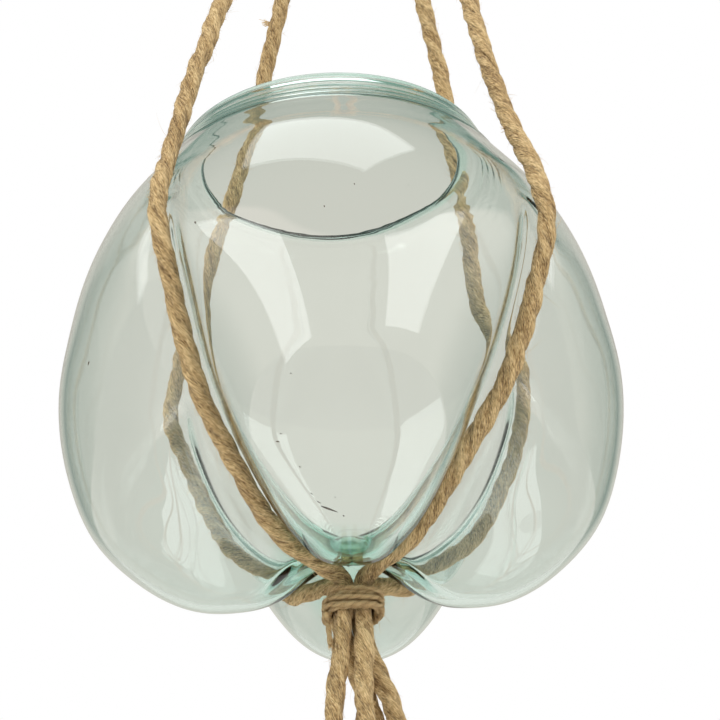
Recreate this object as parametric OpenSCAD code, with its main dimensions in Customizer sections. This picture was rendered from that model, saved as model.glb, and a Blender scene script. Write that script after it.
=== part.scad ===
// Hanging glass terrarium: one mouth-blown vessel that swelled between four
// bars into four lobes, slung in two jute ropes that lie in the folds.
// The origin is where the rope eye bears on its hook. +Z is up, -Y is the front.

/* [Glass vessel] */
// Largest radius of the lobes
lobe_r = 112; // [90:1:135]
// Height from the mouth down to the foot of the lobes
vessel_h = 200; // [160:1:240]
// Radius of the cut mouth
mouth_r = 54; // [40:1:62]
// Glass thickness at the sides
wall = 2.4; // [1.6:0.1:4]
// Extra glass that ran down to the base
base_extra = 1.6; // [0:0.1:3]
// Width of the flat top round the mouth
collar_w = 9.5; // [7:0.5:12]
// Rings that the blowing iron drew into the neck below it
collar_ridges = 5; // [3:1:7]
// Height of each ring
ridge_h = 0.4; // [0:0.1:0.8]
// Radius at the bottom of each fold, where a bar held the glass back
fold_r = 5; // [4:0.5:8]
// Depth of the narrow groove in which a fold starts, below the shoulder
groove_depth = 5.5; // [0:0.5:7]
// Half-width of that groove
groove_w = 7.5; // [6:0.5:10]

/* [Sling] */
// Diameter of the jute rope
rope_d = 7.5; // [5:0.5:8]
// Diameter of the cord wound round the two gatherings
whip_d = 4; // [3:0.5:5]
// Turns in each winding
whip_turns = 3; // [3:1:6]
// Play between a winding and the strands in it
whip_play = 0.2; // [0.1:0.1:0.5]

/* [Hang] */
// Drop from the hook to the mouth
mouth_drop = 325; // [300:5:400]
// How far the vessel sits to the left of the hook
side_shift = 5.3; // [0:0.1:10]
// Lean of the vessel in its sling
lean = 2.2; // [0:0.1:5]

/* [Hidden] */

// Folds, counted round from the front: front left, front right, rear right, rear left.
fold_angle = [-38.5, 45, 130.5, 221];
// How far each fold wanders round the vessel on its way down, and where on the outlines
fold_wander = [-3.3, 0, 0, 0];
wandering = [7.5, 10];
// How far each lobe hangs below its outline (front, right, rear, left), and where
lobe_sag = [2, 3, 3.5, 0];
sag_starts = [8, 11];
sag_ends = [13, 16];
// Outlines from the mouth to the pole, as shares of lobe_r and of vessel_h:
// over the middle of a lobe, and along a fold.
ridge_line = [[0.608, -0.040], [0.662, -0.085], [0.735, -0.140], [0.821, -0.210], [0.915, -0.330],
    [0.969, -0.455], [1.000, -0.575], [0.973, -0.705], [0.888, -0.835], [0.732, -0.930],
    [0.571, -0.984], [0.400, -0.998], [0.290, -0.988], [0.200, -0.955], [0.095, -0.922], [0, -0.910]];
fold_line = [[0.608, -0.040], [0.660, -0.085], [0.730, -0.140], [0.813, -0.210], [0.920, -0.310],
    [0.902, -0.420], [0.821, -0.540], [0.705, -0.665], [0.571, -0.765], [0.446, -0.832],
    [0.345, -0.873], [0.270, -0.896], [0.200, -0.910], [0.130, -0.915], [0.060, -0.913], [0, -0.910]];
// Rise of the flat top from the mouth outwards, and the stretch of the outlines with rings
collar_rise = 0.6;
ringed = [1, 3];
// How long the glass keeps to a lobe's height on its way to a fold
fullness = 1.15;

// Rings of vertices down the outside and the inside, and columns across one lobe
outer_step = 3;
inner_cols = 10;
outer_cols = 2 * inner_cols;
// How strongly the columns crowd towards the folds, where the glass turns fast
crowding = 0.6;
// Step used to find the slope of the glass, and how near the pole it is still looked up
slope_step = 0.02;
pole_margin = 0.3;
// Places on the outlines between which the glass grows thicker towards the base
thicker = [9, 14];
// Shares of the height over which the groove opens, and over which it closes again
groove_opens = [0.24, 0.44];
groove_closes = [0.5, 0.75];
// How far the flame-polished lip swells into the mouth
lip_swell = 0.6;
// Height in the vessel about which it leans
lean_z = -97;

// Routes of the ropes: tail, lower gathering, fold, shoulder, upper gathering, eye and back down.
front_route = [[-10, -10, -606], [-7, -8, -570], [-4, -4, -535], [-4, -4, -518], [-15, -14, -513],
    [-23, -24, -512], [-36, -42, -502], [-47, -51, -484], [-57, -62, -466], [-66, -75, -436],
    [-73, -86, -406], [-73, -85, -393], [-70, -78, -373], [-64, -68, -333], [-53, -57, -282],
    [-29, -31, -178], [-4, -4, -72], [-4, -4, -48], [-13, -4, -30], [-15, -4, -8],
    [0, -4, 4],
    [15, -4, -8], [13, -4, -30], [4, -4, -48], [4, -4, -72], [25, -27, -176],
    [48, -49, -276], [54, -55, -312], [62, -63, -347], [71, -74, -385], [73, -75, -403],
    [67, -69, -430], [56, -58, -461], [43, -46, -481], [33, -36, -496], [20, -22, -510],
    [12, -14, -513], [4, -4, -518], [4, -4, -535], [4, -9, -570], [7, -11, -608]];
rear_route = [[14, 11, -600], [8, 9, -568], [-4, 4, -535], [-4, 4, -518], [-19, 20, -513],
    [-24, 27, -511], [-36, 39, -497], [-48, 49, -485], [-58, 62, -463], [-69, 75, -434],
    [-79, 79, -409], [-79, 80, -393], [-67, 71, -343], [-54, 57, -301], [-40, 42, -251],
    [-27, 28, -186], [-4, 4, -72], [-4, 4, -48], [-13, 4, -30], [-15, 4, -8],
    [0, 4, 4],
    [15, 4, -8], [13, 4, -30], [4, 4, -48], [4, 4, -72], [26, 24, -178],
    [41, 38, -254], [50, 47, -308], [59, 65, -359], [75, 70, -383], [75, 71, -400],
    [70, 63, -430], [59, 55, -458], [47, 45, -482], [35, 32, -496], [22, 21, -510],
    [14, 13, -513], [4, 4, -518], [4, 4, -535], [16, 4, -570], [24, 6, -604]];
rope_sides = 10;
bundle_half = 4;
// Share of the cord's width from one turn to the next
turn_share = 0.9;
upper_gather_z = -60;
lower_gather_z = -526;

// Catmull-Rom curve through a list of points, at place u along it
function spline(p, u) =
    let (n = len(p) - 1, s = min(floor(u), n - 1), t = u - s,
         before = s > 0 ? p[s - 1] : 2 * p[0] - p[1],
         after = s < n - 1 ? p[s + 2] : 2 * p[n] - p[n - 1],
         m0 = (p[s + 1] - before) / 2,
         m1 = (after - p[s]) / 2)
    (2 * t^3 - 3 * t^2 + 1) * p[s] + (t^3 - 2 * t^2 + t) * m0
        + (3 * t^2 - 2 * t^3) * p[s + 1] + (t^3 - t^2) * m1;

function unit(v) = v / max(1e-9, norm(v));
// How much of a stretch has been passed, from 0 to 1 with soft ends
function passed(stretch, x) =
    let (t = max(0, min(1, (x - stretch[0]) / (stretch[1] - stretch[0])))) t * t * (3 - 2 * t);

// A point of an outline in millimetres: the collar first, then the shares
function in_mm(line) = concat([[mouth_r, 0], [mouth_r + collar_w, collar_rise]],
    [for (q = line) [q[0] * lobe_r, q[1] * vessel_h]]);
ridge_mm = in_mm(ridge_line);
fold_mm = in_mm(fold_line);
last_u = len(ridge_mm) - 1;

// Radius of a section made of four overlapping circles of reach R, joined by round
// fillets that bottom out at radius C, at psi degrees from a fold
function lobed(R, C, psi) =
    let (S = R + fold_r,
         D = C + fold_r,
         d = (S^2 - D^2) / (2 * S - sqrt(2) * D),
         across = unit([d / sqrt(2) - D, d / sqrt(2)]),
         touch = atan2(fold_r * across[1], D + fold_r * across[0]))
    psi < touch ? D * cos(psi) - sqrt(max(0, fold_r^2 - (D * sin(psi))^2))
        : d * cos(45 - psi) + sqrt(max(0, (R - d)^2 - (d * sin(45 - psi))^2));

// The same section with a fold that starts as a groove in a nearly round shoulder
function grooved(R, C, groove, psi) =
    let (g = min(groove, R - C), arc = psi * PI / 180 * C)
    lobed(R, C + g, psi) - g * exp(-(arc / groove_w)^2);

// The groove opens below the shoulder and turns into the deep fold further down
function groove_at(z) = let (down = -z / vessel_h)
    groove_depth * passed(groove_opens, down) * (1 - passed(groove_closes, down));

// Angle round the vessel at place q, where folds stand at whole numbers
function lobe_share(t) = t - crowding * sin(360 * t) / (2 * PI);
function fold_at(i, u) = let (k = (i + 8) % 4)
    fold_angle[k] + fold_wander[k] * passed(wandering, u) + 360 * floor(i / 4);
function turn_at(q, u) = let (l = floor(q), a = fold_at(l, u), b = fold_at(l + 1, u)) a + (b - a) * lobe_share(q - l);

// Point on the outside at place u down the outlines and place q round the vessel
function skin(u, q) =
    let (r = spline(ridge_mm, u), c = spline(fold_mm, u),
         share = lobe_share(q - floor(q)),
         rad = grooved(r[0], min(c[0], r[0]), groove_at(c[1]), 90 * min(share, 1 - share)),
         w = max(0, min(1, (r[0] - rad) / max(0.01, r[0] - c[0])))^fullness,
         sag = lobe_sag[(floor(q) + 4) % 4] * passed(sag_starts, u) * (1 - passed(sag_ends, u)) * (1 - w),
         a = turn_at(q, u))
    [rad * sin(a), -rad * cos(a), r[1] + (c[1] - r[1]) * w - sag];

// Point on the inside, a wall's thickness along the normal
function lining(u, q) =
    let (down = skin(min(last_u - pole_margin, u + slope_step), q) - skin(max(0, u - slope_step), q),
         round = skin(u, q + slope_step) - skin(u, q - slope_step),
         thick = wall + base_extra * passed(thicker, u))
    skin(u, q) + thick * unit(cross(round, down));

// Places of the vertex rings down the outlines: flat top, neck with its rings, body
top_u = [0, 0.33, 0.67];
neck_u = [for (i = [0 : 2 * collar_ridges]) ringed[0] + (ringed[1] - ringed[0]) * i / (2 * collar_ridges)];
body_u = [for (i = [1 : outer_step * (last_u - ringed[1]) - 1]) ringed[1] + i / outer_step];
inner_u = concat([0, 0.5], [for (i = [2 : 2 * last_u - 1]) i / 2]);

// One ring of outside vertices, standing out by lift
function ring(u, lift) = [for (k = [0 : 4 * outer_cols - 1])
    let (p = skin(u, k / outer_cols)) p + lift * unit([p[0], p[1], 0])];

module glass_vessel() {
    outer = concat([for (u = top_u) ring(u, 0)], [for (i = [0 : len(neck_u) - 1]) ring(neck_u[i], i % 2 * ridge_h)],
        [for (u = body_u) ring(u, 0)]);
    inner = [for (u = inner_u) [for (k = [0 : 4 * inner_cols - 1]) lining(u, k / inner_cols)]];
    lip = [for (p = outer[0]) let (f = 1 - lip_swell / mouth_r) [p[0] * f, p[1] * f, p[2] - wall / 2]];
    no = 4 * outer_cols;
    ni = 4 * inner_cols;
    ro = len(outer);
    ri = len(inner);
    pole = ridge_mm[last_u];
    points = concat(lip, [for (r = outer) each r], [for (r = inner) each r],
        [[0, 0, pole[1]], [0, 0, pole[1] + wall + base_extra]]);
    in0 = no * (ro + 1);
    pole_out = in0 + ni * ri;
    faces = concat(
        // lip and outside
        [for (i = [0 : ro - 1], k = [0 : no - 1]) let (a = i * no + k, b = i * no + (k + 1) % no)
            each [[a, b + no, b], [a, a + no, b + no]]],
        [for (k = [0 : no - 1]) [ro * no + k, pole_out, ro * no + (k + 1) % no]],
        // lip to the coarser inside
        [for (k = [0 : ni - 1]) let (a = 2 * k, b = in0 + k, c = in0 + (k + 1) % ni)
            each [[a, a + 1, b], [a + 1, (a + 2) % no, c], [b, a + 1, c]]],
        // inside
        [for (i = [0 : ri - 2], k = [0 : ni - 1])
            let (a = in0 + i * ni + k, b = in0 + i * ni + (k + 1) % ni)
            each [[a, b, b + ni], [a, b + ni, a + ni]]],
        [for (k = [0 : ni - 1]) [in0 + (ri - 1) * ni + k, in0 + (ri - 1) * ni + (k + 1) % ni, pole_out + 1]]);
    color([0.72, 0.80, 0.76, 0.45])
        translate([-side_shift, 0, lean_z - mouth_drop]) rotate([0, -lean, 0]) translate([0, 0, -lean_z])
            polyhedron(points, faces);
}

// A tube swept along a route, with each ring square to the bend it stands in
module rope(route) {
    n = len(route);
    points = [for (i = [0 : n - 1])
        let (t = unit(route[min(n - 1, i + 1)] - route[max(0, i - 1)]),
             side = unit(cross(t, [0, 1, 0.02])),
             up = cross(side, t))
        for (k = [0 : rope_sides - 1]) let (a = 360 * k / rope_sides)
            route[i] + rope_d / 2 * (cos(a) * side + sin(a) * up)];
    faces = concat([[for (k = [0 : rope_sides - 1]) k]],
        [for (i = [0 : n - 2], k = [0 : rope_sides - 1])
            let (a = i * rope_sides + k, b = i * rope_sides + (k + 1) % rope_sides)
            [a, a + rope_sides, b + rope_sides, b]],
        [[for (k = [0 : rope_sides - 1]) n * rope_sides - 1 - k]]);
    color([0.75, 0.60, 0.40]) polyhedron(points, faces);
}

// Turns of thin cord wound tight round the four strands
module whipping(z) {
    inner_r = bundle_half * sqrt(2) + rope_d / 2 + whip_play;
    pitch = turn_share * whip_d;
    color([0.70, 0.55, 0.35]) translate([0, 0, z]) rotate_extrude($fn = 48)
        for (i = [0 : whip_turns - 1])
            translate([inner_r + whip_d / 2, (i - (whip_turns - 1) / 2) * pitch]) circle(d = whip_d, $fn = 20);
}

glass_vessel();
rope(front_route);  // front_rope
rope(rear_route);  // rear_rope
whipping(upper_gather_z);  // top_whipping
whipping(lower_gather_z);  // bottom_whipping
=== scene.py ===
import math

import bmesh
import bpy
import numpy as np
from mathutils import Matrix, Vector
from mathutils.bvhtree import BVHTree


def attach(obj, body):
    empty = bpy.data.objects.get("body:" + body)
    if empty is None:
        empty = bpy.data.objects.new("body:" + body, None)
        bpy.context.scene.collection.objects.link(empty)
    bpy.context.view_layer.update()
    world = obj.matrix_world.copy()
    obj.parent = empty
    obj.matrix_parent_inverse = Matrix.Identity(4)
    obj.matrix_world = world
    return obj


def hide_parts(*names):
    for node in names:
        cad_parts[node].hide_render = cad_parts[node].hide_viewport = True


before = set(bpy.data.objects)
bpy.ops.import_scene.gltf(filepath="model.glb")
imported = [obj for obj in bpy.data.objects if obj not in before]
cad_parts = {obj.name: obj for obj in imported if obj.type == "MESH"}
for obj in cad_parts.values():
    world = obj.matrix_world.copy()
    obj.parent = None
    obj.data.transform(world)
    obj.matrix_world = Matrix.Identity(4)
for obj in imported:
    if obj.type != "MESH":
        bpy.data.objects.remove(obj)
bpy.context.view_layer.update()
mm = 0.001
rng = np.random.default_rng(11)
print("frame loaded:", ", ".join(sorted(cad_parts)))

view = {
    "place": (-0.0053, -0.7810, -0.8497),  # metres
    "tilt": 118.705,  # degrees; it looks up at the hanging vessel
    "lens": 110.64,
    "shift": (0.0288, 0.0069),
}


def setCamera(v):
    data = bpy.data.cameras.new("camera")
    data.lens = v["lens"]
    data.sensor_width = 36
    data.shift_x, data.shift_y = v["shift"]
    data.clip_start = 0.01
    camera = bpy.data.objects.new("camera", data)
    camera.location = v["place"]
    camera.rotation_euler = (math.radians(v["tilt"]), 0, 0)
    bpy.context.collection.objects.link(camera)
    bpy.context.scene.camera = camera


setCamera(view)


def clearSelection():
    if bpy.context.object and bpy.context.object.mode != "OBJECT":
        bpy.ops.object.mode_set(mode="OBJECT")
    bpy.ops.object.select_all(action="DESELECT")


def makeMesh(name, points, faces):
    mesh = bpy.data.meshes.new(name)
    mesh.from_pydata([tuple(p) for p in points], [], [tuple(int(i) for i in f) for f in faces])
    mesh.validate()
    mesh.polygons.foreach_set("use_smooth", [True] * len(mesh.polygons))
    mesh.update()
    piece = bpy.data.objects.new(name, mesh)
    bpy.context.collection.objects.link(piece)
    return piece


def placePiece(piece, slotName, *nodes):
    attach(piece, "root")
    if nodes:
        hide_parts(*nodes)


def unitRows(v):
    return v / np.maximum(1e-12, np.linalg.norm(v, axis=-1, keepdims=True))


class Link:  # an output that can stand in a sum
    def __init__(self, finish, socket):
        self.finish, self.socket = finish, socket

    def maths(self, operation, a, b):
        return self.finish.node("ShaderNodeMath", {"operation": operation}, {0: a, 1: b})

    def __add__(self, other):
        return self.maths("ADD", self, other)

    def __sub__(self, other):
        return self.maths("SUBTRACT", self, other)

    def __rsub__(self, other):
        return self.maths("SUBTRACT", other, self)

    def __mul__(self, other):
        return self.maths("MULTIPLY", self, other)

    __radd__, __rmul__ = __add__, __mul__


class Finish:  # a material's nodes, or the world's
    def __init__(self, name, tree=None):
        if tree is None:
            self.material = bpy.data.materials.new(name)
            self.material.use_nodes = True
            tree = self.material.node_tree
        self.tree = tree
        tree.nodes.clear()

    def node(self, kind, settings=None, inputs=None, output=0):
        made = self.tree.nodes.new(kind)
        for key, value in (settings or {}).items():
            if key == "stops":
                ramp = made.color_ramp
                while len(ramp.elements) < len(value):
                    ramp.elements.new(0.5)
                for stop, (place, colour) in zip(ramp.elements, value):
                    stop.position = place
                    stop.color = (*colour, 1)
            else:
                setattr(made, key, value)
        for key, value in (inputs or {}).items():
            socket = made.inputs[key]
            if isinstance(value, Link):
                self.tree.links.new(value.socket, socket)
            elif isinstance(value, tuple) and len(value) == 3 and socket.type == "RGBA":
                socket.default_value = (*value, 1)
            else:
                socket.default_value = value
        return Link(self, made.outputs[output])

    def mix(self, share, a, b):  # sockets by number, because the node has several of each name
        return self.node("ShaderNodeMix", {"data_type": "RGBA"}, {0: share, 6: a, 7: b}, 2)

    def close(self, surface, volume=None):
        links = {"Surface": surface}
        if volume:
            links["Volume"] = volume
        out = self.tree.nodes.new("ShaderNodeOutputMaterial")
        for key, value in links.items():
            self.tree.links.new(value.socket, out.inputs[key])
        return self.material


rope = {
    "diameter": 7.5,
    "strandReach": 2.68,  # radius of one soft strand
    "strandOffset": 1.0,  # how far a strand stands off the middle
    "strands": 3,
    "pitch": 37,  # length of one full turn of the strands
    "ringStep": 1.0,
    "sides": 54,
    "fibreRelief": 0.2,
    "lumps": 0.055,  # share of the radius by which the soft yarn swells and shrinks
    "wander": 0.25,  # how far it strays from its route
    "steadyEnd": 60,  # over this length at each end it strays less
    "bends": (14, 3),  # streaks: over what length they change, and how many lie round the rope
    "yarns": (12, 18),
    "fibres": (3, 54),
    "swells": (9, 3),
    "bulges": (16, 3),
    "hairs": 5000,
    "hairRoot": 3.3,  # they start this far from the middle
    "hairRadius": 0.056,
    "hairLength": (0.8, 4.2),
    "longHairs": (0.06, 2.2),  # share of them, and how much longer they are
    "endHairs": 90,  # where the cut ends fray
    "tuftHairs": 24,
    "frontTufts": [((62.7, -64, -350), (-0.85, -0.2, -0.45))],
    "rearTufts": [((-35.5, 36.2, -224), (-0.95, -0.1, 0.25))],
    "frontRoute": [(-10, -10, -606), (-7, -8, -570), (-4, -4, -535), (-4, -4, -518), (-15, -14, -513),
        (-23, -24, -512), (-36, -42, -502), (-47, -51, -484), (-57, -62, -466), (-66, -75, -436),
        (-73, -86, -406), (-73, -85, -393), (-70, -78, -373), (-64, -68, -333), (-53, -57, -282),
        (-29, -31, -178), (-4, -4, -72), (-4, -4, -48), (-13, -4, -30), (-15, -4, -8),
        (0, -4, 4),
        (15, -4, -8), (13, -4, -30), (4, -4, -48), (4, -4, -72), (25, -27, -176),
        (48, -49, -276), (54, -55, -312), (62, -63, -347), (71, -74, -385), (73, -75, -403),
        (67, -69, -430), (56, -58, -461), (43, -46, -481), (33, -36, -496), (20, -22, -510),
        (12, -14, -513), (4, -4, -518), (4, -4, -535), (4, -9, -570), (7, -11, -608)],
    "rearRoute": [(14, 11, -600), (8, 9, -568), (-4, 4, -535), (-4, 4, -518), (-19, 20, -513),
        (-24, 27, -511), (-36, 39, -497), (-48, 49, -485), (-58, 62, -463), (-69, 75, -434),
        (-79, 79, -409), (-79, 80, -393), (-67, 71, -343), (-54, 57, -301), (-40, 42, -251),
        (-27, 28, -186), (-4, 4, -72), (-4, 4, -48), (-13, 4, -30), (-15, 4, -8),
        (0, 4, 4),
        (15, 4, -8), (13, 4, -30), (4, 4, -48), (4, 4, -72), (26, 24, -178),
        (41, 38, -254), (50, 47, -308), (59, 65, -359), (75, 70, -383), (75, 71, -400),
        (70, 63, -430), (59, 55, -458), (47, 45, -482), (35, 32, -496), (22, 21, -510),
        (14, 13, -513), (4, 4, -518), (4, 4, -535), (16, 4, -570), (24, 6, -604)],
}


def smoothLine(points, step):  # a centripetal curve through the points, cut into even steps
    p = np.array(points, float)
    p = np.vstack([2 * p[0] - p[1], p, 2 * p[-1] - p[-2]])
    out = []
    for i in range(1, len(p) - 2):
        apart = np.linalg.norm(np.diff(p[i - 1:i + 3], axis=0), axis=1)
        knots = np.concatenate([[0], np.cumsum(apart ** 0.5)])
        t = np.linspace(knots[1], knots[2], 24, endpoint=False)[:, None]

        def blendPair(a, b, ta, tb):
            return a * (tb - t) / (tb - ta) + b * (t - ta) / (tb - ta)

        a1, a2, a3 = (blendPair(p[i - 1 + k], p[i + k], knots[k], knots[k + 1]) for k in range(3))
        b1 = blendPair(a1, a2, knots[0], knots[2])
        b2 = blendPair(a2, a3, knots[1], knots[3])
        out.append(blendPair(b1, b2, knots[1], knots[2]))
    line = np.vstack(out + [p[-2]])
    along = np.concatenate([[0], np.cumsum(np.linalg.norm(np.diff(line, axis=0), axis=1))])
    even = np.linspace(0, along[-1], int(along[-1] / step) + 1)
    return np.stack([np.interp(even, along, line[:, k]) for k in range(3)], 1), even


def frames(line):  # tangents and two sides that don't twist along the way
    tangent = unitRows(np.gradient(line, axis=0))
    side = np.zeros_like(line)
    side[0] = unitRows(np.cross(tangent[0], (0.3, 0.9, 0.1)))  # any way off the line
    for i in range(1, len(line)):
        s = side[i - 1] - tangent[i] * np.dot(side[i - 1], tangent[i])
        side[i] = s / np.linalg.norm(s)
    return tangent, side, np.cross(tangent, side)


def streaks(length, coarse, lines):  # soft random lines along a rope, that change over coarse millimetres
    rows = max(4, int(length / coarse))
    table = rng.standard_normal((rows, lines))
    table = (table + 0.5 * np.roll(table, 1, 1)) / 1.12

    def read(place, turn):
        a = place / length * (rows - 1)
        b = (turn / (2 * math.pi) % 1) * lines
        i, j = np.clip(a.astype(int), 0, rows - 2), b.astype(int) % lines
        fa, fb = a - i, b - b.astype(int)
        fa, fb = fa * fa * (3 - 2 * fa), fb * fb * (3 - 2 * fb)
        k = (j + 1) % lines
        return ((table[i, j] * (1 - fb) + table[i, k] * fb) * (1 - fa)
                + (table[i + 1, j] * (1 - fb) + table[i + 1, k] * fb) * fa)

    return read


def strandOutline(turn, reach, offset, strands):  # outline of soft round strands packed together
    part = 2 * math.pi / strands
    d = (turn + part / 2) % part - part / 2
    return offset * np.cos(d) + np.sqrt(np.maximum(0, reach ** 2 - (offset * np.sin(d)) ** 2))


def layTube(name, line, along, outline, sides, pitch):
    tangent, side, up = frames(line)
    turn = np.linspace(0, 2 * math.pi, sides, endpoint=False)[None, :]
    lay = turn + 2 * math.pi * along[:, None] / pitch  # angle that stays on one strand
    radius = outline(along[:, None] + 0 * turn, lay)
    ends = np.minimum(along, along[-1] - along)[:, None]
    radius = radius * np.sqrt(np.clip(ends, 0.02, 1))  # rounded over the last millimetre
    points = (line[:, None] + radius[..., None] * (np.cos(turn)[..., None] * side[:, None]
              + np.sin(turn)[..., None] * up[:, None]))
    n = len(line)
    i, k = np.meshgrid(np.arange(n - 1), np.arange(sides), indexing="ij")
    j = (k + 1) % sides
    quads = np.stack([i * sides + k, i * sides + j, (i + 1) * sides + j, (i + 1) * sides + k], -1)
    faces = [tuple(q) for q in quads.reshape(-1, 4)]
    faces += [tuple(range(sides - 1, -1, -1)), tuple((n - 1) * sides + c for c in range(sides))]
    piece = makeMesh(name, points.reshape(-1, 3) * mm, faces)
    usual = rope["diameter"] / 2
    layout = np.stack([np.cos(lay) * usual, np.sin(lay) * usual, along[:, None] + 0 * lay], -1)
    attribute = piece.data.attributes.new("lay", "FLOAT_VECTOR", "POINT")
    attribute.data.foreach_set("vector", layout.reshape(-1).astype(np.float32))
    low, high = np.percentile(radius, (2, 98))  # without the few odd ones
    # how far out on the strands each point lies; the jute finish paints shade in the low grooves from it
    deep = piece.data.attributes.new("height", "FLOAT", "POINT")
    deep.data.foreach_set("value", ((radius - low) / (high - low)).reshape(-1).astype(np.float32))
    return piece


def layRope(name, route, r):
    line, along = smoothLine(route, r["ringStep"])
    sway = [streaks(along[-1], *r["bends"]) for _ in range(3)]
    loose = np.clip(np.minimum(along, along[-1] - along) / r["steadyEnd"], 0, 1)
    line = line + np.stack([s(along, 0 * along) for s in sway], 1) * (r["wander"] * loose)[:, None]
    yarn, fibre, swell, lump = (streaks(along[-1], *r[key])
                                for key in ("yarns", "fibres", "swells", "bulges"))

    def outline(place, lay):
        bulk = strandOutline(lay, r["strandReach"], r["strandOffset"], r["strands"])
        uneven = 0.5 * swell(place, lay) + 0.5 * lump(place, 0 * lay)
        rough = yarn(place, lay + place * 0.02) + 0.5 * fibre(place, lay - place * 0.03)
        return bulk * (1 + r["lumps"] * uneven) + r["fibreRelief"] * rough

    return layTube(name, line, along, outline, r["sides"], r["pitch"]), line


def addSliver(points, faces, path, thick, sides):  # a closed thin tube along a short path
    direction = unitRows(np.gradient(path, axis=0))
    s = unitRows(np.cross(direction, (0.2, 0.5, 0.8)))
    u = np.cross(direction, s)
    base, rings = len(points), len(path)
    for ring in range(rings):
        for k in range(sides):
            b = 2 * math.pi * k / sides
            points.append((path[ring] + thick[ring] * (math.cos(b) * s[ring] + math.sin(b) * u[ring])) * mm)
    for ring in range(rings - 1):
        for k in range(sides):
            p, q = base + ring * sides + k, base + ring * sides + (k + 1) % sides
            faces.append((p, q, q + sides, p + sides))
    faces.append(tuple(base + k for k in reversed(range(sides))))
    faces.append(tuple(base + (rings - 1) * sides + k for k in range(sides)))


def addHairs(name, line, r, count, reach, barrier=None, tufts=()):
    tangent, side, up = frames(line)
    points, faces = [], []
    last = len(line) - 1
    few, longer = r["longHairs"]
    t = np.linspace(0, 1, 5)[:, None]
    for n in range(count + r["endHairs"]):
        a = rng.uniform(0, 2 * math.pi)
        if n < count:
            i = rng.integers(4, last - 3)
            way = rng.choice([-1, 1]) * rng.uniform(0.3, 1)
            depth = reach
            length = rng.uniform(*r["hairLength"])
            lift = rng.uniform(0.1, 0.8)
            length *= longer if rng.random() < few else 1
        else:  # the cut ends fray
            i, way = ((1, -1), (last - 1, 1))[n % 2]
            depth = reach * math.sqrt(rng.random())
            length = rng.uniform(1, 2.5) * reach
            lift = rng.uniform(0, 0.4)
        out = math.cos(a) * side[i] + math.sin(a) * up[i]
        along = tangent[i] * way + np.cross(tangent[i], out) * rng.normal(0, 0.4 if n < count else 0.15)
        bend = rng.normal(0, 0.5, 3)
        rise = lift * (t - 0.45 * t ** 2) * out
        path = line[i] + out * depth + length * (t * along + rise + 0.35 * t ** 2 * bend)
        start, tip = Vector(path[1] * mm), Vector(path[-1] * mm)
        if barrier and (barrier.ray_cast(start, tip - start, (tip - start).length)[0]
                        or barrier.find_nearest(tip, 0.3 * mm)[0]):
            continue
        addSliver(points, faces, path, r["hairRadius"] * rng.uniform(0.7, 1.6) * (1 - 0.75 * t[:, 0]), 3)
    for root, way in tufts:  # bunches of fibre that stand out of the rope
        for _ in range(r["tuftHairs"]):
            start = np.array(root) + rng.normal(0, 0.7, 3) + 2.2 * np.array(way)
            path = start + t * rng.uniform(1.4, 2.9) * (np.array(way) + 0.3 * rng.normal(0, 1, 3) * t)
            addSliver(points, faces, path, rng.uniform(0.1, 0.3) * (1 - 0.7 * t[:, 0]), 5)
    return makeMesh(name, points, faces)


vessel = {
    "lobeRadius": 112,
    "height": 200,
    "mouthRadius": 54,
    "wall": 2.4,
    "baseExtra": 1.6,
    "collarWidth": 9.5,
    "collarRise": 0.6,
    "ridges": 5,
    "ridgeHeight": 0.75,
    "ridgeFade": 0.85,  # by this share they fade on the way round to the back
    "ridgeFades": (50, 100),
    "ridged": (1, 3),  # where the rings lie on the outlines
    "fullness": 1.15,  # how long the glass keeps to a lobe's height towards a fold
    "foldRadius": 5,
    "grooveDepth": 5.5,
    "grooveWidth": 7.5,
    "grooveOpens": (0.24, 0.44),
    "grooveCloses": (0.5, 0.75),
    "thicker": (9, 14),
    "foldAngles": (-38.5, 45, 130.5, 221),
    "foldWander": (-3.3, 0, 0, 0),  # how far each fold turns round the vessel on its way down
    "wandering": (7.5, 10),
    "lobeSag": (2, 3, 3.5, 0),  # front, right, rear, left
    "sagStarts": (8, 11),
    "sagEnds": (13, 16),
    "overLobe": [(0.608, -0.040), (0.662, -0.085), (0.735, -0.140), (0.821, -0.210), (0.915, -0.330),
        (0.969, -0.455), (1.000, -0.575), (0.973, -0.705), (0.888, -0.835), (0.732, -0.930),
        (0.571, -0.984), (0.400, -0.998), (0.290, -0.988), (0.200, -0.955), (0.095, -0.924), (0, -0.918)],
    "alongFold": [(0.608, -0.040), (0.660, -0.085), (0.730, -0.140), (0.813, -0.210), (0.920, -0.310),
        (0.902, -0.420), (0.821, -0.540), (0.705, -0.665), (0.571, -0.765), (0.446, -0.832),
        (0.345, -0.873), (0.270, -0.896), (0.200, -0.910), (0.130, -0.915), (0.060, -0.9175), (0, -0.918)],
    "columns": 44,  # per lobe
    "crowding": 0.6,  # how much closer the columns stand in the folds
    "mouthDrop": 325,
    "sideShift": 5.3,
    "lean": 2.2,
    "leanHeight": -97,
    "tingedFoot": (-500, 34, 32),  # below this height, inside this radius, and further out in front
    "footFades": (10, 20),  # over this height and this width
    "tingedLip": 0.5,
}


def outlineAt(points, u):  # the same Catmull-Rom curve as the solid model's
    p = np.array(points, float)
    n = len(p) - 1
    s = min(int(u), n - 1)
    t = u - s
    before = p[s - 1] if s > 0 else 2 * p[0] - p[1]
    after = p[s + 2] if s < n - 1 else 2 * p[n] - p[n - 1]
    m0, m1 = (p[s + 1] - before) / 2, (after - p[s]) / 2
    return ((2 * t**3 - 3 * t**2 + 1) * p[s] + (t**3 - 2 * t**2 + t) * m0
            + (3 * t**2 - 2 * t**3) * p[s + 1] + (t**3 - t**2) * m1)


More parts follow.
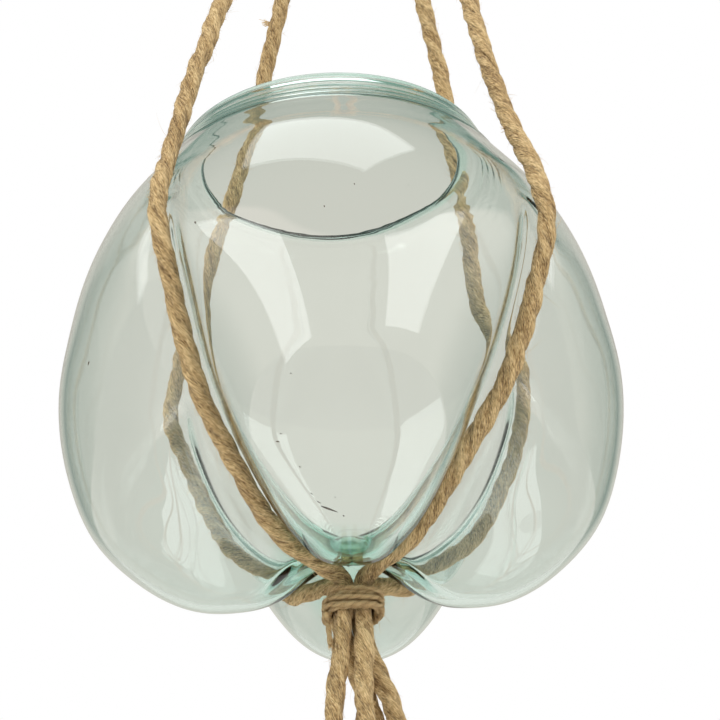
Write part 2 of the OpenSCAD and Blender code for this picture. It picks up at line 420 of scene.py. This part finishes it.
def passed(stretch, x):  # from 0 to 1 over a stretch, with soft ends
    x = min(1, max(0, (x - stretch[0]) / (stretch[1] - stretch[0])))
    return x * x * (3 - 2 * x)


def lobedRadius(reach, deep, fold, angle):  # four circles, joined by fillets that go down to deep
    s, d = reach + fold, deep + fold
    off = (s * s - d * d) / (2 * s - math.sqrt(2) * d)
    ax, ay = off / math.sqrt(2) - d, off / math.sqrt(2)
    size = math.hypot(ax, ay)
    touch = math.atan2(fold * ay / size, d + fold * ax / size)
    inFold = d * np.cos(angle) - np.sqrt(np.maximum(0, fold**2 - (d * np.sin(angle)) ** 2))
    inLobe = (off * np.cos(math.pi / 4 - angle)
              + np.sqrt(np.maximum(0, (reach - off) ** 2 - (off * np.sin(math.pi / 4 - angle)) ** 2)))
    return np.where(angle < touch, inFold, inLobe)


def vesselRing(v, u):  # the outside of the glass at one place down its outlines
    lip = [(v["mouthRadius"], 0), (v["mouthRadius"] + v["collarWidth"], v["collarRise"])]
    over, along = (lip + [(a * v["lobeRadius"], b * v["height"]) for a, b in v[key]]
                   for key in ("overLobe", "alongFold"))
    lobeAt, foldAt = outlineAt(over, u), outlineAt(along, u)
    column = np.arange(4 * v["columns"]) / v["columns"]
    lobe, part = column.astype(int), column % 1
    share = part - v["crowding"] * np.sin(2 * math.pi * part) / (2 * math.pi)
    angles = np.array(v["foldAngles"]) + np.array(v["foldWander"]) * passed(v["wandering"], u)
    angles = np.append(angles, angles[0] + 360)
    turn = np.radians(angles[lobe] + (angles[lobe + 1] - angles[lobe]) * share)
    fromFold = math.pi / 2 * np.minimum(share, 1 - share)
    deep = min(foldAt[0], lobeAt[0])
    depth = -foldAt[1] / v["height"]
    groove = v["grooveDepth"] * passed(v["grooveOpens"], depth) * (1 - passed(v["grooveCloses"], depth))
    groove = min(groove, lobeAt[0] - deep)
    radius = (lobedRadius(lobeAt[0], deep + groove, v["foldRadius"], fromFold)
              - groove * np.exp(-((fromFold * deep / v["grooveWidth"]) ** 2)))
    sunk = np.clip((lobeAt[0] - radius) / max(0.01, lobeAt[0] - foldAt[0]), 0, 1) ** v["fullness"]
    sag = np.array(v["lobeSag"])[lobe] * passed(v["sagStarts"], u)
    sag = sag * (1 - passed(v["sagEnds"], u)) * (1 - sunk)
    height = lobeAt[1] + (foldAt[1] - lobeAt[1]) * sunk - sag
    return np.stack([radius * np.sin(turn), -radius * np.cos(turn), height], 1)


def hangVessel(v, points):  # from the vessel's own axis to its place in the sling
    a = math.radians(v["lean"])
    p = np.array(points, float)
    x, z = p[:, 0], p[:, 2] - v["leanHeight"]
    return np.stack([x * math.cos(a) - z * math.sin(a) - v["sideShift"], p[:, 1],
                     x * math.sin(a) + z * math.cos(a) + v["leanHeight"] - v["mouthDrop"]], 1) * mm


def shapeShell(v, rings):  # a plain tube takes the vessel's outside ring by ring, and closes at the pole
    count = 4 * v["columns"]
    clearSelection()
    bpy.ops.mesh.primitive_cylinder_add(vertices=count, radius=1, depth=1, end_fill_type="NOTHING")
    shell = bpy.context.object
    shell.name = shell.data.name = "blownVessel"
    bpy.ops.object.mode_set(mode="EDIT")
    bpy.ops.mesh.select_all(action="DESELECT")
    mesh = bmesh.from_edit_mesh(shell.data)
    for edge in mesh.edges:
        edge.select_set(abs(edge.verts[0].co.z - edge.verts[1].co.z) > 0.5)
    bpy.ops.mesh.subdivide_edgering(number_cuts=len(rings) - 2, interpolation="LINEAR")
    bpy.ops.mesh.select_all(action="DESELECT")
    mesh = bmesh.from_edit_mesh(shell.data)
    level = mesh.verts.layers.int.new("level")
    places = [hangVessel(v, vesselRing(v, u)) for u in rings]
    for vert in mesh.verts:
        column = round(math.atan2(vert.co.x, -vert.co.y) / (2 * math.pi) * count) % count
        vert[level] = round((0.5 - vert.co.z) * (len(rings) - 1))
        vert.co = places[vert[level]][column]
    for edge in mesh.edges:
        edge.select_set(all(vert[level] == len(rings) - 1 for vert in edge.verts))
    bpy.ops.mesh.extrude_region_move(TRANSFORM_OT_translate={"value": (0, 0, 0)})
    bpy.ops.mesh.merge(type="CENTER")
    mesh = bmesh.from_edit_mesh(shell.data)
    level = mesh.verts.layers.int["level"]
    for vert in mesh.verts:
        if vert.select:
            vert.co = hangVessel(v, [(0, 0, v["alongFold"][-1][1] * v["height"])])[0]
            vert[level] = len(rings)
    bpy.ops.mesh.select_all(action="SELECT")
    bpy.ops.mesh.normals_make_consistent(inside=False)
    bpy.ops.object.mode_set(mode="OBJECT")
    return shell


def thickenWall(v, shell, downs):  # more glass ran down to the base
    group = shell.vertex_groups.new(name="thick")
    full = v["wall"] + v["baseExtra"]
    for vert, u in zip(shell.data.vertices, downs):
        group.add([vert.index], (v["wall"] + v["baseExtra"] * passed(v["thicker"], u)) / full, "REPLACE")
    wall = shell.modifiers.new("wall", "SOLIDIFY")
    wall.thickness = full * mm
    wall.offset = -1
    wall.use_even_offset = True
    wall.vertex_group = "thick"
    bpy.ops.object.modifier_apply(modifier="wall")
    shell.vertex_groups.clear()


def raiseRidges(v, shell, downs):  # only the outside's vertices, which come first, have a place in downs
    first, end = v["ridged"]
    for vert, u in zip(shell.data.vertices, downs):
        if first < u < end:
            wave = 0.5 - 0.5 * math.cos(2 * math.pi * v["ridges"] * (u - first) / (end - first))
            azimuth = abs(math.degrees(math.atan2(vert.co.x + v["sideShift"] * mm, -vert.co.y)))
            strength = 1 - v["ridgeFade"] * passed(v["ridgeFades"], azimuth)
            vert.co += vert.normal * v["ridgeHeight"] * wave * strength * mm


def tingeThickGlass(v, shell):  # its colour shows at the foot and along the mouth
    co = np.zeros(3 * len(shell.data.vertices))
    shell.data.vertices.foreach_get("co", co)
    x, y, z = co.reshape(-1, 3).T / mm
    reach = np.hypot(x + v["sideShift"], y)
    height, around, forward = v["tingedFoot"]
    rise, spread = v["footFades"]
    edge = around + forward * np.clip((-y / np.maximum(1, reach) - 0.72) / 0.28, 0, 1)
    footed = np.clip((height - z) / rise, 0, 1) * np.clip((edge - reach) / spread, 0, 1)
    lipped = (z > -v["mouthDrop"] - 8) * np.clip((v["mouthRadius"] + 1.6 - reach) / 1.5, 0, 1)
    tinge = shell.data.attributes.new("tinge", "FLOAT", "POINT")
    tinge.data.foreach_set("value", np.maximum(footed, v["tingedLip"] * lipped).astype(np.float32))


def blowVessel(v):
    last = len(v["overLobe"]) + 1
    first, end = v["ridged"]
    # down the outlines in quarter steps, closer at the ridges and at the pole
    rings = np.concatenate([np.linspace(0, first, 5), np.linspace(first, end, 4 * v["ridges"] + 1)[1:],
                            np.arange(end, last - 3, 0.25)[1:], np.arange(last - 3, last, 0.2)])
    shell = shapeShell(v, rings)
    levels = np.zeros(len(shell.data.vertices), int)
    shell.data.attributes["level"].data.foreach_get("value", levels)
    downs = np.append(rings, last)[levels]  # how far down its outlines each vertex lies
    thickenWall(v, shell, downs)
    raiseRidges(v, shell, downs)
    smoother = shell.modifiers.new("smoother", "SUBSURF")
    smoother.levels = smoother.render_levels = 1
    bpy.ops.object.modifier_apply(modifier="smoother")
    shell.data.polygons.foreach_set("use_smooth", [True] * len(shell.data.polygons))
    tingeThickGlass(v, shell)
    print("vessel blown:", len(shell.data.polygons), "faces")
    return shell


shell = blowVessel(vessel)
placePiece(shell, "clear_glass", "glass_vessel")
barrier = BVHTree.FromObject(shell, bpy.context.evaluated_depsgraph_get())

frontRope, frontLine = layRope("frontRope", rope["frontRoute"], rope)
rearRope, rearLine = layRope("rearRope", rope["rearRoute"], rope)
frontHairs = addHairs("frontRopeHairs", frontLine, rope, rope["hairs"], rope["hairRoot"],
                      barrier, rope["frontTufts"])
rearHairs = addHairs("rearRopeHairs", rearLine, rope, rope["hairs"], rope["hairRoot"],
                     barrier, rope["rearTufts"])
placePiece(frontRope, "jute_rope", "front_rope")
placePiece(rearRope, "jute_rope", "rear_rope")
placePiece(frontHairs, "jute_rope")
placePiece(rearHairs, "jute_rope")
print("ropes laid")

winding = {
    "cord": 2.2,
    "strandReach": 0.38,  # this and the next are shares of the cord
    "strandOffset": 0.12,
    "strands": 2,
    "pitch": 8,
    "ringStep": 0.6,
    "sides": 18,
    "yarns": (5, 12),
    "fibreRelief": 0.06,
    "bundle": 4.1,  # how far the strands' middles stand off on each side
    "clear": 5.1,  # from there out to the first layer's middle
    "roundness": 0.08,  # of the four corners
    "turns": (0, 5.6, 6.0, 8.58),  # up round the strands, then back down over the first layer
    "level": (-5.1, 5.1, 1.6, -4.9),
    "out": (0, 0, 1.9, 1.9),
    "tilt": (0.4, 0.6, 1.0, 1.4),
    "tail": [(-9.9, -5.6, -8.6), (-9.4, -6.9, -12), (-8.9, -7.6, -16), (-8.6, -8.0, -20)],
    "topHeight": -60,
    "bottomHeight": -526,
    "hairs": 260,
    "hairRoot": 0.9,
}


def windCord(name, height, w):
    turn = np.linspace(0, w["turns"][-1], int(w["turns"][-1] * 60))
    level, out, tilt = (np.interp(turn, w["turns"], w[key]) for key in ("level", "out", "tilt"))
    a = 2 * math.pi * turn
    flat = [w["bundle"] * c / np.sqrt(c * c + w["roundness"]) + (w["clear"] + out) * c
            for c in (np.cos(a), np.sin(a))]
    level = level + tilt * np.sin(a + 0.6) + 0.16 * np.sin(a * 1.37)  # sloping, and a little uneven
    line = np.vstack([np.stack([*flat, level], 1), w["tail"]]) + (0, 0, height)
    line, along = smoothLine(line, w["ringStep"])
    yarn = streaks(along[-1], *w["yarns"])

    def outline(place, lay):
        bulk = strandOutline(lay, w["strandReach"] * w["cord"], w["strandOffset"] * w["cord"], w["strands"])
        return bulk + w["fibreRelief"] * yarn(place, lay)

    return layTube(name, line, along, outline, w["sides"], w["pitch"]), line


topWinding, topLine = windCord("topWinding", winding["topHeight"], winding)
bottomWinding, bottomLine = windCord("bottomWinding", winding["bottomHeight"], winding)
topHairs = addHairs("topWindingHairs", topLine, rope, winding["hairs"], winding["hairRoot"])
bottomHairs = addHairs("bottomWindingHairs", bottomLine, rope, winding["hairs"], winding["hairRoot"])
placePiece(topWinding, "jute_cord", "top_whipping")
placePiece(bottomWinding, "jute_cord", "bottom_whipping")
placePiece(topHairs, "jute_cord")
placePiece(bottomHairs, "jute_cord")
print("windings wound")


crumbs = {  # bits of jute that fell on the glass: from, to, thickness
    "bits": [
        ((-11.4, -67.6, -515.4), (-5.7, -66.2, -517.1), 0.36),
        ((-12.9, -69.2, -514.2), (-11.4, -68.8, -514.9), 0.16),
        ((-15.0, -71.5, -512.2), (-14.2, -71.0, -512.6), 0.15),
        ((-4.0, -65.4, -518.0), (-3.3, -65.3, -518.2), 0.22),
        ((-6.8, -71.8, -514.0), (-6.3, -71.7, -514.1), 0.13),
        ((-58.3, -93.6, -413.1), (-58.1, -93.5, -414.1), 0.3),
        ((-10.8, -108.7, -415.9), (-10.6, -108.6, -416.6), 0.24),
        ((0.1, -106.6, -405.0), (0.4, -106.5, -405.6), 0.2),
        ((-99.8, -48.3, -446.8), (-100.2, -48.0, -448.6), 0.2),
        ((-27.6, -84.4, -498.9), (-26.2, -84.7, -499.3), 0.22),
        ((-26.1, -87.4, -497.3), (-25.5, -87.4, -497.5), 0.16),
        ((-19.4, -82.4, -507.7), (-18.8, -82.3, -508.1), 0.2),
        ((-22.6, -100.4, -480.2), (-21.9, -100.4, -480.4), 0.16),
    ],
    "dust": 70,
    "dustSize": (0.05, 0.14),
    "dustFrom": (-85, -110, -515),
    "dustTo": (75, -30, -380),
    "dustLift": 0.16,  # off the glass
}


def dropCrumbs(c, tree):
    points, faces = [], []
    t = np.linspace(0, 1, 4)[:, None]
    bits = list(c["bits"])
    for _ in range(c["dust"]):
        spot, normal, _, _ = tree.find_nearest(Vector(rng.uniform(c["dustFrom"], c["dustTo"]) * mm))
        spot = np.array(spot + normal * (c["dustLift"] * mm)) / mm
        bits.append((spot, spot + rng.normal(0, 0.12, 3), rng.uniform(*c["dustSize"])))
    for start, stop, thick in bits:
        path = np.array(start) * (1 - t) + np.array(stop) * t
        addSliver(points, faces, path, thick * np.array([0.35, 1, 0.8, 0.25]), 6)
    return makeMesh("juteCrumbs", points, faces)


fallen = dropCrumbs(crumbs, barrier)
placePiece(fallen, "jute_rope")
print("crumbs dropped")

onFront = [frontHairs, topWinding, bottomWinding, topHairs, bottomHairs]
for piece, line, others in ((frontRope, frontLine, onFront), (rearRope, rearLine, [rearHairs])):
    (line[0] * mm).tolist()
    (line * mm).tolist()

glass = {
    "ior": 1.5,
    "tint": (0.13, 0.79, 0.66),
    "density": 20,  # how strongly it tints the light on its way through
    "thick": (0.60, 0.89, 0.81),  # where it is thickest
}
jute = {  # each: painted shade in the gaps between the fibres, on most of them, and on the palest
    "rope": [(0.12, 0.062, 0.024), (0.51, 0.335, 0.150), (0.90, 0.69, 0.38)],
    # the cord's tones are paler than the cord's own colour: painted light that makes up for the shade at
    # the windings
    "cord": [(0.21, 0.105, 0.042), (0.84, 0.54, 0.245), (0.95, 0.76, 0.42)],
    "crumb": [(0.02, 0.014, 0.010), (0.10, 0.052, 0.020)],
    "toneStops": (0.1, 0.4, 0.78),
    "fine": (0.36, 1.7),  # across and along the fibres, in millimetres
    "strokes": (0.9, 3.6),
    "gaps": (0.52, 0.66),  # the strokes that part the fibres
    # how dark the painted shade in the gaps is
    "gapShade": 0.7,
    "bump": 0.0009,
}


def glassFinish(g):
    f = Finish("clearGlass")
    tinge = f.node("ShaderNodeAttribute", {"attribute_name": "tinge"}, None, "Fac")
    surface = f.node("ShaderNodeBsdfPrincipled", None, {
        "Base Color": f.mix(tinge, (1.0, 1.0, 1.0), g["thick"]),
        "Roughness": 0.0,
        "IOR": g["ior"],
        "Transmission Weight": 1.0,
    })
    volume = f.node("ShaderNodeVolumeAbsorption", None, {"Color": g["tint"], "Density": g["density"]})
    return f.close(surface, volume)


def juteFinish(name, tones, scale, j):
    f = Finish(name)
    lay = f.node("ShaderNodeAttribute", {"attribute_name": "lay"}, None, "Vector")
    height = f.node("ShaderNodeAttribute", {"attribute_name": "height"}, None, "Fac")

    def fibres(across, length):
        finer = (scale / across, scale / across, scale / length)
        stretched = f.node("ShaderNodeVectorMath", {"operation": "MULTIPLY"}, {0: lay, 1: finer})
        return f.node("ShaderNodeTexNoise", None,
                      {"Vector": stretched, "Scale": 1.0, "Detail": 2.0, "Roughness": 0.65})

    fine, strokes = fibres(*j["fine"]), fibres(*j["strokes"])
    broad = f.node("ShaderNodeTexNoise", None, {"Vector": lay, "Scale": 0.08, "Detail": 3.0})
    toneAndShade = fine * 1.7 + height * 0.22 + broad * 0.4 - 0.68  # mostly fibres, with painted shade from the height: paler on the outside of the strands, darker in the grooves between them
    colour = f.node("ShaderNodeValToRGB", {"stops": list(zip(j["toneStops"], tones))}, {"Fac": toneAndShade})
    # strokes that part the fibres, more of them low in the grooves: the bump carves them and the colour
    # below darkens them as painted shade
    parted = f.node("ShaderNodeMapRange", None, {
        "Value": strokes - height * 0.08, "From Min": j["gaps"][0], "From Max": j["gaps"][1]})
    # painted shade: the gaps between the fibres darken towards the darkest tone
    colour = f.mix(parted * j["gapShade"], colour, tones[0])
    bump = f.node("ShaderNodeBump", None, {
        "Strength": 1.0, "Distance": j["bump"], "Height": fine + parted * -0.5})
    surface = f.node("ShaderNodeBsdfPrincipled", None, {
        "Base Color": colour,
        "Roughness": 0.9,
        "Sheen Weight": 0.1,
        "Normal": bump,
        "Specular IOR Level": 0.2,
    })
    return f.close(surface)


def hairFinish(tones):
    f = Finish("juteHair")
    place = f.node("ShaderNodeTexCoord", None, None, "Object")
    broad = f.node("ShaderNodeTexNoise", None, {"Vector": place, "Scale": 900.0, "Detail": 1.0})
    surface = f.node("ShaderNodeBsdfPrincipled", None, {
        "Base Color": f.mix(broad, tones[1], tones[2]), "Roughness": 0.8, "Specular IOR Level": 0.25})
    return f.close(surface)


def crumbFinish(tones):
    f = Finish("juteCrumb")
    place = f.node("ShaderNodeTexCoord", None, None, "Object")
    spots = f.node("ShaderNodeTexNoise", None, {"Vector": place, "Scale": 400.0, "Detail": 2.0})
    surface = f.node("ShaderNodeBsdfPrincipled", None, {
        "Base Color": f.mix(spots, *tones), "Roughness": 0.8})
    return f.close(surface)


def paint(piece, material):
    piece.data.materials.clear()
    piece.data.materials.append(material)


paint(shell, glassFinish(glass))
ropeJute = juteFinish("juteRope", jute["rope"], 1.0, jute)
for piece in (frontRope, rearRope):
    paint(piece, ropeJute)
hairJute = hairFinish(jute["rope"])
for piece in (frontHairs, rearHairs, topHairs, bottomHairs):
    paint(piece, hairJute)
paint(fallen, crumbFinish(jute["crumb"]))
cordJute = juteFinish("juteCord", jute["cord"], 1.3, jute)
for piece in (topWinding, bottomWinding):
    paint(piece, cordJute)
print("finishes made")

studio = {
    "floorHeight": -1.30,
    "floorSize": 60,
    "floorColour": (0.86, 0.86, 0.85),
    "lamps": {
        "leftBox": {
            "place": (-0.885, -0.915, -0.042), "turn": (70.3, -11.6, -42.1),
            "size": (0.65, 1.0), "watts": 4.2},
        "rightBox": {
            "place": (0.772, -0.927, 0.109), "turn": (63.2, 2.1, 41.3),
            "size": (0.675, 1.03), "watts": 4.2},
        "overBox": {
            "place": (-0.084, -0.22, 0.855), "turn": (7.2, -0.6, -26.9),
            "size": (0.856, 0.564), "watts": 2.2},
    },
    "fill": (0.92, 0.90, 0.84),  # the room's light on everything dull
    "wall": [  # from straight below to straight above
        (0.0, (0.36, 0.35, 0.33)),
        (0.40, (0.65, 0.63, 0.565)),
        (0.862, (0.66, 0.635, 0.57)),
        (0.875, (0.135, 0.23, 0.188)),
    ],
    "beside": (0.15, 0.215, 0.185),  # darker room to the left and right of the pale wall
    "besideFrom": (0.33, 0.74),
    "frontGain": 0.7,  # the room is brighter behind the camera
}


def addBox(name, light):
    data = bpy.data.lights.new(name, "AREA")
    data.shape = "RECTANGLE"
    data.size, data.size_y = light["size"]
    data.energy = light["watts"]
    lamp = bpy.data.objects.new(name, data)
    lamp.location = light["place"]
    lamp.rotation_euler = [math.radians(a) for a in light["turn"]]
    bpy.context.collection.objects.link(lamp)


def layFloor(s):
    clearSelection()
    bpy.ops.mesh.primitive_plane_add(size=s["floorSize"], location=(0, 0, s["floorHeight"]))
    floor = bpy.context.object
    floor.name = "floor"
    f = Finish("paleFloor")
    surface = f.node("ShaderNodeBsdfPrincipled", None, {"Base Color": s["floorColour"], "Roughness": 0.9})
    paint(floor, f.close(surface))


def paintRoom(s):  # white to the camera, a pale room in the glass, and plain light on the rest
    world = bpy.data.worlds.new("studio")
    world.use_nodes = True
    bpy.context.scene.world = world
    w = Finish("studio", world.node_tree)
    way = w.node("ShaderNodeTexCoord", None, None, "Generated")
    sideways, backward, upward = (w.node("ShaderNodeSeparateXYZ", None, {"Vector": way}, axis)
                                  for axis in ("X", "Y", "Z"))
    height = w.node("ShaderNodeMapRange", None, {"Value": upward, "From Min": -1.0, "From Max": 1.0})
    wall = w.node("ShaderNodeValToRGB", {"stops": s["wall"]}, {"Fac": height})
    behind = w.node("ShaderNodeMapRange", {"interpolation_type": "SMOOTHSTEP"},
                    {"Value": backward, "From Min": -0.3, "From Max": 0.3})
    aside = w.node("ShaderNodeMath", {"operation": "ABSOLUTE"}, {0: sideways})
    beside = w.node("ShaderNodeMapRange", {"interpolation_type": "SMOOTHSTEP"},
                    {"Value": aside, "From Min": s["besideFrom"][0], "From Max": s["besideFrom"][1]})
    room = w.mix(beside * behind, wall, s["beside"])
    room = w.node("ShaderNodeVectorMath", {"operation": "SCALE"},
                  {0: room, 3: (1 + s["frontGain"]) - behind * s["frontGain"]})
    camera, glossy, passing, scattered = (
        w.node("ShaderNodeLightPath", None, None, ray)
        for ray in ("Is Camera Ray", "Is Glossy Ray", "Is Transmission Ray", "Diffuse Depth"))
    dull = w.node("ShaderNodeMath", {"operation": "MINIMUM"}, {0: scattered, 1: 1.0})
    # what lights a dull surface is the fill, also where it comes through the glass
    colour = w.mix((glossy + passing) * (1.0 - dull), s["fill"], room)
    colour = w.mix(camera, colour, (1.0, 1.0, 1.0))
    background = w.node("ShaderNodeBackground", None, {"Color": colour, "Strength": 1.0})
    out = w.tree.nodes.new("ShaderNodeOutputWorld")
    w.tree.links.new(background.socket, out.inputs["Surface"])


for name, light in studio["lamps"].items():
    addBox(name, light)
layFloor(studio)
paintRoom(studio)
bpy.context.scene.view_settings.view_transform = "Standard"
print("studio lit")
